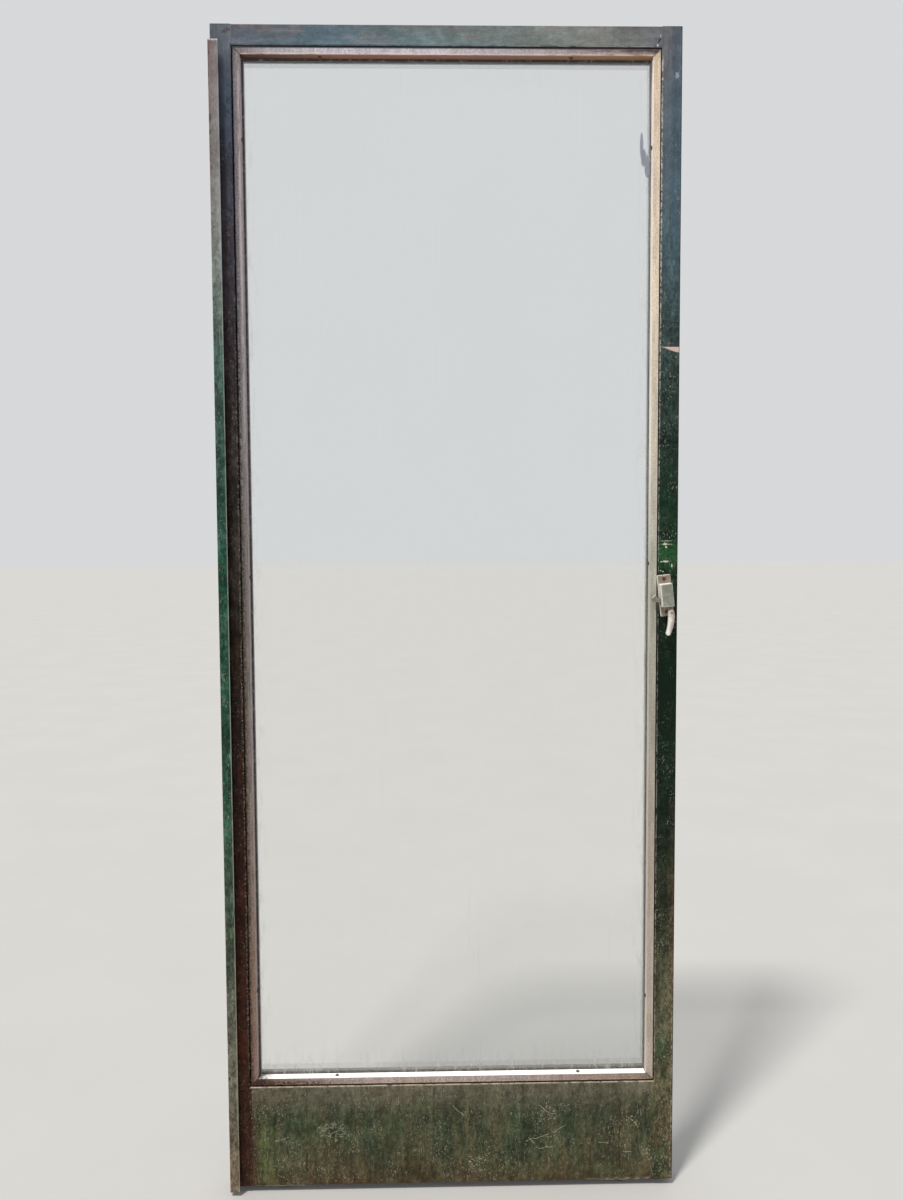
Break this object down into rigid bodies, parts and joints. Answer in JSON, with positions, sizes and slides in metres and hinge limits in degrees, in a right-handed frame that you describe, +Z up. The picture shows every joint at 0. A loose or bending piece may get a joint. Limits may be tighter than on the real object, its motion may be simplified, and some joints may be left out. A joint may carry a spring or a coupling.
{
  "type": "sliding balcony window leaf",
  "caption": "Tall glazed sliding balcony window leaf: folded steel frame, deep kick panel, aluminium beads, interlock strip, hook latch with thumb lever, and track wheels",
  "frame": {"origin": "under the middle of the leaf, mid-depth, on the line where the wheels run on their track", "axes": "X across the leaf towards the latch, Y from the front to the back, Z up"},
  "size_m": [0.802, 0.052, 2.047],
  "materials": {
    "frame_paint": "dark green gloss paint, sun-bleached, chipped and rusty",
    "bead_aluminium": "mill aluminium, weathered and dusty",
    "window_glass": "clear float glass, dusty",
    "putty": "hard grey linseed putty",
    "setting_rubber": "black rubber blocks",
    "latch_paint": "worn grey-white lacquer",
    "latch_steel": "dull zinc plate",
    "lever_zinc": "cast zinc, worn cream lacquer",
    "screw_steel": "rusty steel",
    "roller_steel": "zinc-plated steel, dirty"
  },
  "bodies": {
    "leaf": {"left_stile": "frame_paint", "right_stile": "frame_paint", "top_rail": "frame_paint", "kick_panel": "frame_paint", "interlock_strip": "frame_paint", "glass_pane": "window_glass", "glazing_putty": "putty", "setting_blocks": "setting_rubber", "top_bead": "bead_aluminium", "right_bead": "bead_aluminium", "bottom_bead": "bead_aluminium", "left_bead": "bead_aluminium", "bead_screws": "screw_steel", "latch_plate": "latch_paint", "latch_case": "latch_paint", "latch_pivot_pin": "latch_steel", "latch_spring": "latch_steel", "latch_screws": "screw_steel", "left_roller_housing": "roller_steel", "right_roller_housing": "roller_steel", "left_roller_axle": "roller_steel", "right_roller_axle": "roller_steel", "roller_screws": "screw_steel"},
    "latch_rocker": {"latch_hook": "latch_steel", "latch_lever": "lever_zinc", "latch_rivet": "latch_steel"},
    "left_wheel": {"left_roller_wheel": "roller_steel"},
    "right_wheel": {"right_roller_wheel": "roller_steel"}
  },
  "joints": [
    {"name": "latch_pivot", "type": "hinge", "parent": "leaf", "child": "latch_rocker", "pos_m": [0.38123, -0.02355, 1.06726], "axis": [0, -1, 0], "range_deg": [0, 15], "stiffness_Nm_per_rad": 0.15, "springref_deg": -34.38, "deforming": ["latch_spring"]},
    {"name": "left_wheel_spin", "type": "hinge", "parent": "leaf", "child": "left_wheel", "pos_m": [-0.305, 0, 0.014], "axis": [0, 1, 0], "continuous": true},
    {"name": "right_wheel_spin", "type": "hinge", "parent": "leaf", "child": "right_wheel", "pos_m": [0.305, 0, 0.014], "axis": [0, 1, 0], "continuous": true}
  ]
}
